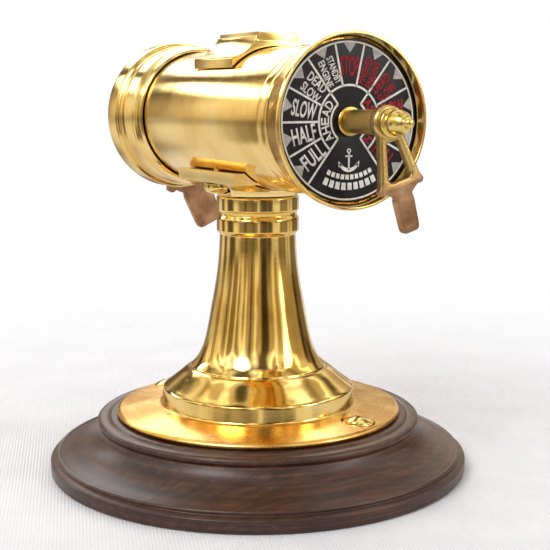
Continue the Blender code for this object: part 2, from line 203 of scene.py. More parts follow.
def bumped(tree, shader, height, strength, distance):
    """Gives the shader a bump from a height."""
    bump = node(tree, "ShaderNodeBump", in_Strength=strength, in_Distance=distance)
    tree.links.new(height, bump.inputs["Height"])
    tree.links.new(bump.outputs[0], shader.inputs["Normal"])


def turning_vector(tree, axis):
    """(object coordinates, a vector for lathe marks, radius, place along the axis).

    The vector holds the radius, the place and a slow wave around the axis, all in millimetres."""
    coords = node(tree, "ShaderNodeTexCoord").outputs["Object"]
    shift = node(tree, "ShaderNodeVectorMath", operation="SUBTRACT")
    tree.links.new(coords, shift.inputs[0])
    shift.inputs[1].default_value = (0, 0, AXIS_Z * MM if axis == "Y" else 0)
    split = node(tree, "ShaderNodeSeparateXYZ")
    tree.links.new(shift.outputs[0], split.inputs[0])
    across = split.outputs["X"]
    up, along = ("Z", "Y") if axis == "Y" else ("Y", "Z")
    flat = node(tree, "ShaderNodeCombineXYZ")
    tree.links.new(across, flat.inputs[0])
    tree.links.new(split.outputs[up], flat.inputs[1])
    length = node(tree, "ShaderNodeVectorMath", operation="LENGTH")
    tree.links.new(flat.outputs[0], length.inputs[0])
    radius = math_node(tree, "MULTIPLY", length.outputs["Value"], 1000.0)
    place = math_node(tree, "MULTIPLY", split.outputs[along], 1000.0)
    wave = math_node(tree, "DIVIDE", across, math_node(tree, "ADD", length.outputs["Value"], 0.0001))
    wave = math_node(tree, "MULTIPLY", wave, 0.35)
    joined = node(tree, "ShaderNodeCombineXYZ")
    for index, value in enumerate((radius, place, wave)):
        tree.links.new(value, joined.inputs[index])
    return coords, joined.outputs[0], radius, place


def dulled(tree, coords, height, dull_below, colour):
    """(colour, extra roughness) of blotchy, handled brass below a height."""
    low = math_node(tree, "LESS_THAN", height, dull_below)
    blotch = noise(tree, coords, 90.0, 5.0, 0.6)
    share = math_node(tree, "ADD", math_node(tree, "MULTIPLY", blotch, 0.22), 0.06)
    stain = ramp(tree, blotch, [(0.40, (0.9, 0.9, 0.9)), (0.62, (0.1, 0.1, 0.1))])
    colour = blended(tree, math_node(tree, "MULTIPLY", low, stain), colour, TARNISH)
    return colour, math_node(tree, "MULTIPLY", low, share)


def coppery(tree, coords, radius, tip_from, colour):
    """(colour, extra roughness) of a lever's grip, beyond a radius from its axis."""
    reach = math_node(tree, "MULTIPLY", math_node(tree, "SUBTRACT", radius, tip_from), 0.45)
    patina = ramp(tree, noise(tree, coords, 170.0, 4.0), list(zip((0.36, 0.52, 0.68), COPPER)))
    grown = node(tree, "ShaderNodeClamp")
    tree.links.new(reach, grown.inputs[0])
    return blended(tree, reach, colour, patina), math_node(tree, "MULTIPLY", grown.outputs[0], 0.13)


def brass(name, axis, rough, marks, tones, dull_below=0.0, tip_from=0.0):
    """Polished brass: lathe marks about an axis, cloudy tarnish, fine scratches and brighter edges.

    Below the height dull_below it is blotchy, and beyond the radius tip_from it is a grip's copper."""
    made, tree, shader = new_material(name)
    coords, rings, radius, place = turning_vector(tree, axis)
    cloud = noise(tree, coords, 55.0, 4.0)
    colour = ramp(tree, cloud, list(zip((0.32, 0.52, 0.72), tones)))
    edge = node(tree, "ShaderNodeNewGeometry").outputs["Pointiness"]
    worn = ramp(tree, edge, [(0.50, (0, 0, 0)), (0.58, (1, 1, 1))])
    colour = blended(tree, math_node(tree, "MULTIPLY", worn, 0.45), colour, WORN_EDGE)
    fine = noise(tree, rings, 5.5, 5.0, 0.7)
    scratches = noise(tree, coords, 900.0, 2.0)
    streaks = noise(tree, rings, 1.3, 3.0, 0.6)
    rough_now = math_node(tree, "ADD", math_node(tree, "MULTIPLY", cloud, 0.10), rough - 0.09)
    rough_now = math_node(tree, "ADD", rough_now, math_node(tree, "MULTIPLY", streaks, 0.10))
    if dull_below:
        colour, extra = dulled(tree, coords, place, dull_below, colour)
        rough_now = math_node(tree, "ADD", rough_now, extra)
    if tip_from:
        colour, extra = coppery(tree, coords, radius, tip_from, colour)
        rough_now = math_node(tree, "ADD", rough_now, extra)
    tree.links.new(colour, shader.inputs["Base Color"])
    tree.links.new(rough_now, shader.inputs["Roughness"])
    shader.inputs["Metallic"].default_value = 1.0
    height = math_node(tree, "ADD", fine, math_node(tree, "MULTIPLY", scratches, 0.12))
    waves = noise(tree, coords, 120.0, 1.0)
    height = math_node(tree, "ADD", height, math_node(tree, "MULTIPLY", waves, 2.4))
    height = math_node(tree, "ADD", height, math_node(tree, "MULTIPLY", streaks, 0.8))
    bumped(tree, shader, height, marks, 0.00006)
    return made


def steel():
    made, tree, shader = new_material("zinc_steel_worn")
    coords = node(tree, "ShaderNodeTexCoord").outputs["Object"]
    cloud = noise(tree, coords, 400.0, 4.0)
    colour = ramp(tree, cloud, [(0.3, (0.42, 0.41, 0.38)), (0.7, (0.68, 0.68, 0.66))])
    tree.links.new(colour, shader.inputs["Base Color"])
    rough = math_node(tree, "ADD", math_node(tree, "MULTIPLY", cloud, 0.25), 0.22)
    tree.links.new(rough, shader.inputs["Roughness"])
    shader.inputs["Metallic"].default_value = 1.0
    bumped(tree, shader, cloud, 0.2, 0.00005)
    return made


def wood():
    """Dark stained hardwood: long grain along X, pores, turning marks and a satin varnish."""
    made, tree, shader = new_material("stained_wood_grain")
    coords, rings, *_ = turning_vector(tree, "Z")
    mapping = node(tree, "ShaderNodeMapping", in_Scale=(26.0, 330.0, 420.0), in_Rotation=(0.0, 0.05, 0.35))
    tree.links.new(coords, mapping.inputs["Vector"])
    grain = noise(tree, mapping.outputs[0], 1.6, 7.0, 0.62)
    pores = noise(tree, mapping.outputs[0], 9.0, 4.0, 0.7)
    broad = noise(tree, coords, 26.0, 2.0)
    lathe_marks = noise(tree, rings, 1.1, 5.0, 0.68)
    mixed = math_node(tree, "MULTIPLY", grain, 0.40)
    mixed = math_node(tree, "ADD", mixed, math_node(tree, "MULTIPLY", broad, 0.22))
    mixed = math_node(tree, "ADD", mixed, math_node(tree, "MULTIPLY", lathe_marks, 0.38))
    colour = ramp(tree, mixed, [
        (0.38, (0.011, 0.0034, 0.0022)),
        (0.47, (0.034, 0.0105, 0.0058)),
        (0.55, (0.070, 0.0240, 0.0120)),
        (0.64, (0.125, 0.050, 0.026)),
    ])
    pore_mask = ramp(tree, pores, [(0.36, (0.35, 0.35, 0.35)), (0.46, (1, 1, 1))])
    tree.links.new(blended(tree, 0.8, colour, pore_mask, "MULTIPLY"), shader.inputs["Base Color"])
    rough = math_node(tree, "ADD", math_node(tree, "MULTIPLY", pores, 0.16), 0.34)
    tree.links.new(rough, shader.inputs["Roughness"])
    shader.inputs["Specular IOR Level"].default_value = 0.4
    shader.inputs["Coat Weight"].default_value = 0.22
    shader.inputs["Coat Roughness"].default_value = 0.26
    height = math_node(tree, "MULTIPLY", pores, 0.5)
    height = math_node(tree, "ADD", height, math_node(tree, "MULTIPLY", lathe_marks, 0.7))
    bumped(tree, shader, height, 0.22, 0.0001)
    return made


def felt():
    made, tree, shader = new_material("green_felt_fibres")
    coords = node(tree, "ShaderNodeTexCoord").outputs["Object"]
    fibres = noise(tree, coords, 1500.0, 4.0, 0.7)
    colour = ramp(tree, fibres, [(0.3, (0.015, 0.07, 0.035)), (0.7, (0.05, 0.17, 0.09))])
    tree.links.new(colour, shader.inputs["Base Color"])
    shader.inputs["Roughness"].default_value = 0.95
    shader.inputs["Sheen Weight"].default_value = 0.4
    bumped(tree, shader, fibres, 0.6, 0.0002)
    return made


def ink(name, dark, light, rough, coat):
    """Printed ink under a clear gloss, with a faint mottle."""
    made, tree, shader = new_material(name)
    coords = node(tree, "ShaderNodeTexCoord").outputs["Object"]
    mottle = noise(tree, coords, 700.0, 3.0)
    tree.links.new(ramp(tree, mottle, [(0.35, dark), (0.65, light)]), shader.inputs["Base Color"])
    rough_now = math_node(tree, "ADD", math_node(tree, "MULTIPLY", mottle, 0.15), rough)
    tree.links.new(rough_now, shader.inputs["Roughness"])
    shader.inputs["Specular IOR Level"].default_value = 0.25
    shader.inputs["Coat Weight"].default_value = coat
    shader.inputs["Coat Roughness"].default_value = 0.12
    return made


GOLD = ((0.66, 0.40, 0.09), (0.85, 0.59, 0.18), (0.90, 0.70, 0.30))
OLIVE = ((0.54, 0.37, 0.08), (0.74, 0.54, 0.15), (0.82, 0.63, 0.24))
HANDLED = ((0.33, 0.205, 0.055), (0.54, 0.375, 0.115), (0.70, 0.51, 0.19))
COPPER = ((0.25, 0.135, 0.070), (0.39, 0.220, 0.120), (0.55, 0.340, 0.195))
WORN_EDGE = (0.98, 0.80, 0.42)
TARNISH = (0.74, 0.37, 0.07)
BRASS_UPRIGHT = brass("brass_turned_upright", "Z", 0.085, 0.10, GOLD, dull_below=19.8)
BRASS_DRUM = brass("brass_turned_drum", "Y", 0.12, 0.16, GOLD)
BRASS_MILLED = brass("brass_milled", "Y", 0.13, 0.08, GOLD)
BRASS_SATIN = brass("brass_satin", "Y", 0.20, 0.20, OLIVE)
BRASS_DRAWN = brass("brass_drawn", "Y", 0.36, 0.15, GOLD)
BRASS_CAST = {
    1: brass("brass_cast_front", "Y", 0.22, 0.75, HANDLED, tip_from=14.8),
    -1: brass("brass_cast_rear", "Y", 0.22, 0.75, HANDLED, tip_from=23.5),
}
STEEL = steel()
WOOD = wood()
FELT = felt()
CARD_INK = ink("card_black_ink", (0.003, 0.003, 0.006), (0.008, 0.007, 0.013), 0.40, 0.10)
WHITE_INK = ink("card_white_ink", (0.62, 0.62, 0.63), (0.80, 0.80, 0.80), 0.45, 0.05)
GREY_INK = ink("card_grey_ink", (0.36, 0.36, 0.37), (0.48, 0.48, 0.49), 0.45, 0.05)
RED_INK = ink("card_red_ink", (0.28, 0.004, 0.014), (0.41, 0.008, 0.024), 0.45, 0.05)
BY_SLOT = {
    "polished_brass": BRASS_UPRIGHT,
    "zinc_steel": STEEL,
    "stained_wood": WOOD,
    "green_felt": FELT,
    "printed_card": CARD_INK,
}


# ---------------------------------------------------------------- mesh tools

def facing_out(side, angle=0.0):
    """Local +Z out of the drum's end, +Y up, and +X turned by angle, as in the CAD."""
    turn = Matrix.Rotation(math.pi / 2, 4, "X") @ Matrix.Rotation(side * angle, 4, "Z")
    if side < 0:
        turn = Matrix.Rotation(math.pi, 4, "Z") @ turn
    return Matrix.Translation((0.0, 0.0, AXIS_Z * MM)) @ turn


STRAIGHT_ENOUGH = 0.06
LONGEST_CUT = 0.45


def rounded(points, cut, closed, pieces=4):
    """The outline with each corner cut back and rounded off, by up to cut mm or a share of its sides.

    A bend of less than STRAIGHT_ENOUGH radians stays as it is."""
    count = len(points)
    found = []
    for index, (x, y) in enumerate(points):
        if not closed and index in (0, count - 1):
            found.append((x, y))
            continue
        before = Vector(points[index - 1])
        after = Vector(points[(index + 1) % count])
        corner = Vector((x, y))
        back = before - corner
        ahead = after - corner
        bend = back.angle(-ahead, 0.0)
        if bend < STRAIGHT_ENOUGH:
            found.append((x, y))
            continue
        start = corner + back.normalized() * min(cut, back.length * LONGEST_CUT)
        end = corner + ahead.normalized() * min(cut, ahead.length * LONGEST_CUT)
        for step in range(pieces + 1):
            t = step / pieces
            point = start * (1 - t) ** 2 + corner * 2 * t * (1 - t) + end * t * t
            found.append((point.x, point.y))
    return found


def smooth_curve(points, pieces=4):
    """A curve through the points, with straight ends."""
    found = []
    for index in range(len(points) - 1):
        p0 = Vector(points[max(index - 1, 0)])
        p1 = Vector(points[index])
        p2 = Vector(points[index + 1])
        p3 = Vector(points[min(index + 2, len(points) - 1)])
        for step in range(pieces):
            t = step / pieces
            point = (2 * p1 + (p2 - p0) * t + (2 * p0 - 5 * p1 + 4 * p2 - p3) * t * t
                     + (3 * p1 - 3 * p2 + p3 - p0) * t ** 3) * 0.5
            found.append((point.x, point.y))
    found.append(tuple(points[-1]))
    return found


def placed(name, data):
    """A new object in the scene."""
    obj = bpy.data.objects.new(name, data)
    bpy.context.scene.collection.objects.link(obj)
    return obj


def add_piece(name, mesh, finish, node_name, replaces=True):
    obj = placed(name, mesh)
    obj.data.materials.clear()
    obj.data.materials.append(finish)
    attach(obj, body_of[node_name])
    if replaces:
        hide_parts(node_name)


def face_outwards(mesh):
    shape = bmesh.new()
    shape.from_mesh(mesh)
    bmesh.ops.recalc_face_normals(shape, faces=shape.faces)
    shape.to_mesh(mesh)
    shape.free()


def lathe_mesh(name, profile, closed, matrix, steps=STEPS):
    """A mesh turned about local Z from (radius, height) points in mm."""
    vertices = []
    rings = []
    for radius, height in profile:
        if radius < 1e-6:
            rings.append([len(vertices)])
            vertices.append((0.0, 0.0, height * MM))
            continue
        first = len(vertices)
        for step in range(steps):
            angle = 2 * math.pi * step / steps
            vertices.append((radius * math.cos(angle) * MM, radius * math.sin(angle) * MM, height * MM))
        rings.append(list(range(first, first + steps)))
    faces = []
    pairs = list(zip(rings, rings[1:]))
    if closed:
        pairs.append((rings[-1], rings[0]))
    for upper, lower in pairs:
        for step in range(steps):
            following = (step + 1) % steps
            face = [upper[step % len(upper)], lower[step % len(lower)]]
            if len(lower) > 1:
                face.append(lower[following])
            if len(upper) > 1:
                face.append(upper[following])
            if len(face) > 2:
                faces.append(face)
    mesh = bpy.data.meshes.new(name)
    mesh.from_pydata([matrix @ Vector(vertex) for vertex in vertices], [], faces)
    face_outwards(mesh)
    mesh.shade_smooth()
    return mesh


def lathe(name, profile, finish, node_name, matrix=LEVEL, closed=True, cut=0.25, steps=STEPS):
    """A turned piece, with the corners of its profile rounded off."""
    mesh = lathe_mesh(name, rounded(profile, cut, closed), closed, matrix, steps)
    add_piece(name, mesh, finish, node_name)


def outline_curve(name, outlines, half_depth):
    """A filled flat curve from closed outlines in mm, the first outside and the rest holes."""
    curve = bpy.data.curves.new(name, "CURVE")
    curve.dimensions = "2D"
    curve.fill_mode = "BOTH"
    curve.extrude = half_depth * MM
    for outline in outlines:
        spline = curve.splines.new("POLY")
        spline.points.add(len(outline) - 1)
        for point, (across, up) in zip(spline.points, outline):
            point.co = (across * MM, up * MM, 0.0, 1.0)
        spline.use_cyclic_u = True
    return curve


def mesh_of(name, obj, others=()):
    """The mesh of an object as Blender evaluates it. The object and its helpers are used up."""
    graph = bpy.context.evaluated_depsgraph_get()
    mesh = bpy.data.meshes.new_from_object(obj.evaluated_get(graph))
    mesh.name = name
    for used in (obj, *others):
        bpy.data.objects.remove(used, do_unlink=True)
    return mesh


def curve_mesh(name, curve, matrix, merge=0.0001):
    """The mesh of a curve or a text, moved by a matrix, with points nearer than merge mm made one."""
    mesh = mesh_of(name, placed(name, curve))
    shape = bmesh.new()
    shape.from_mesh(mesh)
    bmesh.ops.remove_doubles(shape, verts=shape.verts, dist=merge * MM)
    bmesh.ops.transform(shape, matrix=matrix, verts=shape.verts)
    shape.to_mesh(mesh)
    shape.free()
    return mesh


def plate_mesh(name, outlines, thickness, middle, matrix, edge):
    """A flat plate with rounded edges, from closed outlines in mm."""
    curve = outline_curve(name, outlines, thickness / 2 - edge)
    curve.bevel_depth = edge * MM
    curve.bevel_resolution = 3
    curve.offset = -edge * MM
    mesh = curve_mesh(name, curve, matrix @ Matrix.Translation((0, 0, middle * MM)), merge=0.0005)
    face_outwards(mesh)
    mesh.shade_smooth()
    mesh.set_sharp_from_angle(angle=math.radians(35))
    return mesh


def box_mesh(name, size, centre, matrix):
    mesh = bpy.data.meshes.new(name)
    shape = bmesh.new()
    bmesh.ops.create_cube(shape, size=1.0)
    bmesh.ops.scale(shape, verts=shape.verts, vec=[length * MM for length in size])
    bmesh.ops.translate(shape, verts=shape.verts, vec=[place * MM for place in centre])
    bmesh.ops.transform(shape, matrix=matrix, verts=shape.verts)
    shape.to_mesh(mesh)
    shape.free()
    return mesh


def carved(name, start, steps, edge=0.0, sharp=30.0):
    """The start mesh joined with or cut by helper meshes, with its edges rounded where edge isn't 0.

    Edges of more than sharp degrees are rounded, and those of 5 degrees more than that are shaded sharp."""
    work = placed(name + "_work", start)
    helpers = []
    for number, (operation, mesh) in enumerate(steps):
        tool = placed(f"{name}_tool_{number}", mesh)
        helpers.append(tool)
        step = work.modifiers.new(operation, "BOOLEAN")
        step.operation = operation
        step.object = tool
        step.solver = "EXACT"
    if edge:
        bevel = work.modifiers.new("edge", "BEVEL")
        bevel.width = edge * MM
        bevel.segments = 3
        bevel.limit_method = "ANGLE"
        bevel.angle_limit = math.radians(sharp)
    mesh = mesh_of(name, work, helpers)
    mesh.shade_smooth()
    mesh.set_sharp_from_angle(angle=math.radians(sharp + 5))
    return mesh


def arc(centre, radius, start, end, count):
    """Points along an arc, from and to angles in degrees."""
    found = []
    for index in range(count + 1):
        angle = math.radians(start + (end - start) * index / count)
        found.append((centre[0] + radius * math.cos(angle), centre[1] + radius * math.sin(angle)))
    return found


def cylinder_mesh(name, radius, low, high, matrix, steps=96):
    return lathe_mesh(name, [(0, high), (radius, high), (radius, low), (0, low)], False, matrix, steps)


# ---------------------------------------------------------------- pieces

def wooden_base():
    profile = [(BOLT_WAY, BASE_TOP), (45.2, BASE_TOP), (45.6, 15.95), (45.9, 15.6), (46.3, 15.85)]
    profile += arc((48.0, 14.6), 1.3, 95, -40, 12)
    profile += smooth_curve([
        (48.8, 13.3), (49.6, 11.7), (51.2, 9.9), (53.6, 8.2), (56.6, 6.8), (59.2, 5.9), (60.4, 5.5),
    ])
    profile += arc((61.1, 5.2), 0.7, 125, -40, 8)
    profile += [(61.8, 4.5), (62.7, 4.2), (BASE_RADIUS, 3.8), (BASE_RADIUS, 0.6), (BASE_RADIUS - 0.6, 0.0)]
    profile += [(FELT_RECESS_RADIUS, 0.0), (FELT_RECESS_RADIUS, FELT_RECESS_TOP)]
    profile += [(NUT_RECESS_RADIUS, FELT_RECESS_TOP), (NUT_RECESS_RADIUS, NUT_RECESS_TOP)]
    profile.append((BOLT_WAY, NUT_RECESS_TOP))
    lathe("turned_base", profile, WOOD, "wooden_base", cut=0.3)


def pedestal_profile():
    """Neck, bell, skirt and flange from the top down, then the hollow inside from the bottom up."""
    flange_low = BASE_TOP + GAP
    profile = [(BOLT_WAY, COLUMN_TOP), (12.0, COLUMN_TOP), (12.4, 82.2), (12.4, 78.5), (11.9, 78.0)]
    profile += [(11.7, 77.0), (12.35, 76.0), (12.4, 75.4), (12.4, 72.3), (12.0, 71.6), (11.45, 71.1)]
    profile += smooth_curve([
        (11.5, 70.2), (11.7, 66.0), (12.1, 61.5), (12.8, 56.5), (13.8, 51.0), (14.9, 45.0),
        (16.1, 39.5), (17.2, 36.0), (18.7, 33.1), (20.2, 31.3),
    ])
    profile += [(20.5, 31.0), (20.6, 30.5), (21.2, 30.3)]
    profile += smooth_curve([
        (21.5, 30.2), (22.9, 29.2), (25.0, 27.5), (27.2, 25.8), (28.6, 24.8), (29.1, 24.3),
    ])
    profile += [(29.2, 24.0), (29.55, 20.0), (29.8, 19.6), (30.4, 19.4), (42.3, 18.2)]
    profile += [(43.15, 17.8), (FLANGE_RADIUS, 17.3), (FLANGE_RADIUS - 0.3, flange_low)]
    profile += [(26.0, flange_low), (25.5, 22.5), (19.0, 27.5), (14.6, 33.0), (11.4, 43.0), (9.2, 56.0)]
    return profile + [(8.4, 79.6), (BOLT_WAY, 79.6)]


def pedestal():
    start = lathe_mesh("pedestal_turned", rounded(pedestal_profile(), 0.22, True), True, LEVEL)
    seat = [(0, 22.0), (5.6, 22.0), (4.95, 18.2), (4.95, 17.4), (2.2, 17.4), (2.2, 15.0), (0, 15.0)]
    seats = []
    for number, angle in enumerate(FLANGE_SCREW_ANGLES):
        seats.append(("DIFFERENCE", lathe_mesh(f"seat_{number}", seat, False, screw_place(angle), 64)))
    mesh = carved("turned_pedestal", start, seats, sharp=27.0)
    add_piece("turned_pedestal", mesh, BRASS_UPRIGHT, "pedestal")


def screw_place(angle):
    """The upright axis of a flange screw."""
    across = FLANGE_SCREW_CIRCLE * math.cos(angle) * MM
    along = FLANGE_SCREW_CIRCLE * math.sin(angle) * MM
    return Matrix.Translation((across, along, 0.0))


def flange_screws():
    top = FLANGE_SCREW_TOP
    profile = [(0.0, top)] + arc((0.0, 11.9), 8.15, 80, 57, 6) + [(4.6, 18.6), (4.65, 18.3), (4.65, 17.7)]
    profile += [(1.9, 17.7), (1.9, 8.5), (0.0, 6.4)]
    slot_turn = Matrix.Rotation(math.radians(35.0), 4, "Z")
    for number, angle in enumerate(FLANGE_SCREW_ANGLES, start=1):
        where = screw_place(angle)
        start = lathe_mesh("screw", rounded(profile, 0.15, False), False, where, 72)
        slot = box_mesh("slot", (12, 1.1, 2), (0, 0, top), where @ slot_turn)
        mesh = carved(f"slotted_screw_{number}", start, [("DIFFERENCE", slot)], edge=0.08, sharp=40)
        add_piece(f"slotted_screw_{number}", mesh, BRASS_MILLED, f"flange_screw_{number}")


def mouth(rim_radius, side):
    """The profile round a rim's face, and the one back in to the seat of its dial."""
    rim = RIM_OUT[side]
    lip = [(DIAL_RADIUS + 1.15, rim), (rim_radius - 0.15, rim), (rim_radius, rim - 0.3)]
    seat = [(DIAL_RADIUS + GAP, rim - SEAT_DEPTH), (DIAL_RADIUS + GAP + 0.1, rim - SEAT_DEPTH + 2.0)]
    return lip, seat


def drum():
    rim = RIM_OUT[1]
    rear_end = SEAT_DEPTH + GAP - RIM_OUT[-1]
    flare_start = rim - 11.0
    flare_length = 9.8
    flare_width = FRONT_RIM_RADIUS - DRUM_RADIUS
    profile, seat = mouth(FRONT_RIM_RADIUS, 1)
    for index in range(21):
        rise = 1 - index / 20
        profile.append((DRUM_RADIUS + flare_width * rise ** 1.2, flare_start + flare_length * rise))
    for line in (rim - 12.2, rim - 16.0):
        profile += [(DRUM_RADIUS, line + 0.28), (DRUM_RADIUS - 0.25, line), (DRUM_RADIUS, line - 0.28)]
    profile += [(DRUM_RADIUS, rear_end), (DRUM_BORE, rear_end), (DRUM_BORE, rim - SEAT_DEPTH)] + seat
    lathe("drum_barrel", profile, BRASS_DRUM, "barrel", facing_out(1), cut=0.16)


def rear_bezel():
    rim = RIM_OUT[-1]
    sleeve = DRUM_RADIUS + GAP
    steps = [(24.0, 6.6), (23.7, 7.3), (23.0, 7.9), (22.9, 9.6), (22.5, 10.4), (22.4, 16.6), (22.1, 17.5)]
    steps += [(21.7, 19.4), (21.5, 20.8), (sleeve, 21.4)]
    lip, seat = mouth(REAR_RIM_RADIUS, -1)
    profile = lip + [(radius, rim - depth) for radius, depth in steps] + [(sleeve, rim - SEAT_DEPTH)] + seat
    lathe("stepped_bezel", profile, BRASS_DRUM, "rear_bezel", facing_out(-1), cut=0.3)


def top_pad():
    half_width = PAD_HIGH.x
    top_half_width = 6.2
    top = PAD_HIGH.z - AXIS_Z
    reach = math.degrees(math.asin((half_width - 0.2) / (DRUM_RADIUS + GAP)))
    arch = arc((0.0, 0.0), DRUM_RADIUS + GAP, 90 - reach, 90 + reach, 48)
    half = [(half_width, 14.6), (half_width, 17.0)] + arc((half_width + 1.0, 27.5), 10.0, 262, 203, 16)
    half += [(top_half_width, top - 2.4), (top_half_width, top)]
    outline = rounded(half, 0.2, False) + rounded([(-x, y) for x, y in reversed(half)], 0.2, False)
    outline += list(reversed(arch))
    mesh = plate_mesh("arched_pad", [outline], PAD_HIGH.y - PAD_LOW.y, 0.0, facing_out(1), 0.18)
    add_piece("arched_pad", mesh, BRASS_MILLED, "top_pad")


def saddle_screw_axis(side):
    return Matrix.Translation((side * SADDLE_SCREW_X * MM, 0.0, 0.0))


def saddle():
    low, high = box_mm("lower_saddle")
    block = box_mesh("block", (high.x - low.x, high.y - low.y, 3.4), (0, 0, 88.8), LEVEL)
    flare = [(0.0, 88.6), (16.7, 88.6)]
    flare += smooth_curve([(16.5, 87.4), (14.9, 86.3), (13.1, 85.0), (12.3, low.z)]) + [(0.0, low.z)]
    steps = [("UNION", lathe_mesh("flare", flare, False, LEVEL))]
    steps.append(("DIFFERENCE", cylinder_mesh("drum_way", DRUM_RADIUS + GAP, -40, 40, facing_out(1), 180)))
    steps.append(("DIFFERENCE", cylinder_mesh("bolt_way", BOLT_WAY, 80, 90, LEVEL, 32)))
    for side in (-1, 1):
        where = saddle_screw_axis(side)
        steps.append(("DIFFERENCE", cylinder_mesh("spot", 5.1, 82.0, 86.9, where, 64)))
        steps.append(("DIFFERENCE", cylinder_mesh("way", SADDLE_SCREW_WAY, 86.0, 95.0, where, 32)))
    mesh = carved("cast_saddle", block, steps, edge=0.2, sharp=32)
    add_piece("cast_saddle", mesh, BRASS_MILLED, "lower_saddle")


def saddle_screws():
    dome = [(0.0, 92.0), (1.6, 92.0), (1.6, 86.6), (4.6, 86.6), (4.6, 85.6)]
    dome += smooth_curve([(4.55, 85.3), (3.9, 84.3), (2.4, 83.65), (1.0, 83.42)]) + [(0.0, 83.4)]
    for side, name in ((-1, "left"), (1, "right")):
        where = saddle_screw_axis(side)
        screw = f"saddle_screw_{name}"
        lathe(f"domed_screw_{name}", dome, BRASS_MILLED, screw, where, closed=False, cut=0.1, steps=72)


def spacer(side, name):
    start, end = SPACER_OUT[side]
    radius = SPACER_RADIUS
    profile = [(SHAFT_WAY, end), (radius - 0.2, end), (radius, end - 0.2)]
    profile += [(radius, start + 0.2), (radius - 0.2, start), (SHAFT_WAY, start)]
    facing = facing_out(side, LEVER_ANGLE[side])
    lathe(f"{name}_turned_spacer", profile, BRASS_DRAWN, f"{name}_spacer", facing, cut=0.15, steps=96)


def lever_outlines(side):
    """The lever's outside and the window between its legs, each mirrored from its right half."""
    leg = [(3.3, -2.2), (4.0, -5.0), (5.2, -11.0), (6.2, -15.0), (7.2, -16.6), (6.2, -17.9), (5.0, -17.5)]
    grip = [(4.2, -18.6), (3.3, -19.2), (3.7, -20.4), (3.5, -27.6)] + arc((2.2, -28.0), 1.2, 0, -90, 8)
    grip = [(x - GRIP_SLIMMER[side], y) for x, y in grip]
    window = [(1.9, -5.0), (3.6, -14.0), (3.1, -15.2)]
    outlines = []
    for half, cut in ((leg + grip, 0.8), (window, 0.5)):
        whole = [(x * LEVER_SIZE[side], y * LEVER_SIZE[side]) for x, y in half]
        whole += [(-x, y) for x, y in reversed(whole)]
        outlines.append(rounded(whole, cut, True))
    return outlines


def lever(side, name):
    facing = facing_out(side, LEVER_ANGLE[side])
    middle = (HUB_START + HUB_END) / 2
    plate = plate_mesh(f"{name}_arm", lever_outlines(side), LEVER_THICKNESS, middle, facing, 0.6)
    edge = HUB_RADIUS[side]
    hub = [(0.0, HUB_END)] + arc((edge - 1.0, HUB_END - 1.0), 1.0, 85, 10, 5)
    hub += arc((edge - 1.0, HUB_START + 1.0), 1.0, -10, -85, 5) + [(0.0, HUB_START)]
    steps = [("UNION", lathe_mesh("hub", hub, False, facing, 96))]
    way = cylinder_mesh("hub_way", SHAFT_WAY, HUB_START - 1, HUB_END + 1, facing, 48)
    steps.append(("DIFFERENCE", way))
    mesh = carved(f"{name}_cast_lever", plate, steps)
    add_piece(f"{name}_cast_lever", mesh, BRASS_CAST[side], f"{name}_lever")


def acorn_nut(side, name):
    start = ACORN_START
    thread_end = start + THREAD_DEPTH
    profile = [(0.0, ACORN_TIP), (0.7, ACORN_TIP - 0.15), (1.25, ACORN_TIP - 0.7)]
    for degrees in range(24, 91, 6):
        turn = math.radians(degrees)
        profile.append((ACORN_RADIUS * math.sin(turn), start + 2.5 + 4.9 * math.cos(turn)))
    profile += [(ACORN_RADIUS - 0.35, start + 1.6), (ACORN_RADIUS + 0.45, start + 1.15)]
    profile += [(ACORN_RADIUS + 0.5, start + 0.3), (ACORN_RADIUS + 0.2, start)]
    profile += [(SHAFT_WAY, start), (SHAFT_WAY, thread_end), (0.0, thread_end)]
    facing = facing_out(side, LEVER_ANGLE[side])
    nut = f"{name}_acorn_nut"
    lathe(f"{name}_bullet_nut", profile, BRASS_SATIN, nut, facing, closed=False, cut=0.2, steps=96)


# ---------------------------------------------------------------- dials

# Angles on the dial are in degrees, and clockwise from its top. Each title row is (inner, outer, blocks).
SECTOR = 25.8
LAST_LINE = 5.5 * SECTOR
EDGE_RING = 0.955 * DIAL_RADIUS
OUTER_ARC = 0.44 * DIAL_RADIUS
INNER_ARC = 0.265 * DIAL_RADIUS
LINE_WIDTH = 0.026 * DIAL_RADIUS
ARROW_HALF_WIDTH = 5.6
ARROW_TIP = 0.83 * DIAL_RADIUS
ARC_WORD_RADIUS = 0.352 * DIAL_RADIUS
ARC_WORD_HEIGHT = 0.118 * DIAL_RADIUS
LETTER_WIDTH = 0.78
LETTER_BOLDNESS = 0.0002
TITLE_ANGLE = 58
TITLE_ROWS = ((0.655, 0.715, 10), (0.755, 0.845, 9))


def polar(radius, degrees):
    """A point on the dial."""
    angle = math.radians(degrees)
    return (radius * math.sin(angle), radius * math.cos(angle))


def band(inner, outer, start, end):
    """The closed outline of an arc-shaped band."""
    count = max(6, int(abs(end - start) / 3))
    sweep = [start + (end - start) * index / count for index in range(count + 1)]
    return [polar(outer, angle) for angle in sweep] + [polar(inner, angle) for angle in reversed(sweep)]


def stroke(first, last, width):
    """The outline of a straight line of some width."""
    start = Vector(first)
    end = Vector(last)
    aside = (end - start).orthogonal().normalized() * width / 2
    return [tuple(start + aside), tuple(end + aside), tuple(end - aside), tuple(start - aside)]


def flat_shape(outlines, low, high):
    """A thin solid between two heights, from closed outlines in mm."""
    curve = outline_curve("shape", outlines, (high - low) / 2)
    return curve_mesh("shape", curve, Matrix.Translation((0, 0, (high + low) / 2 * MM)))


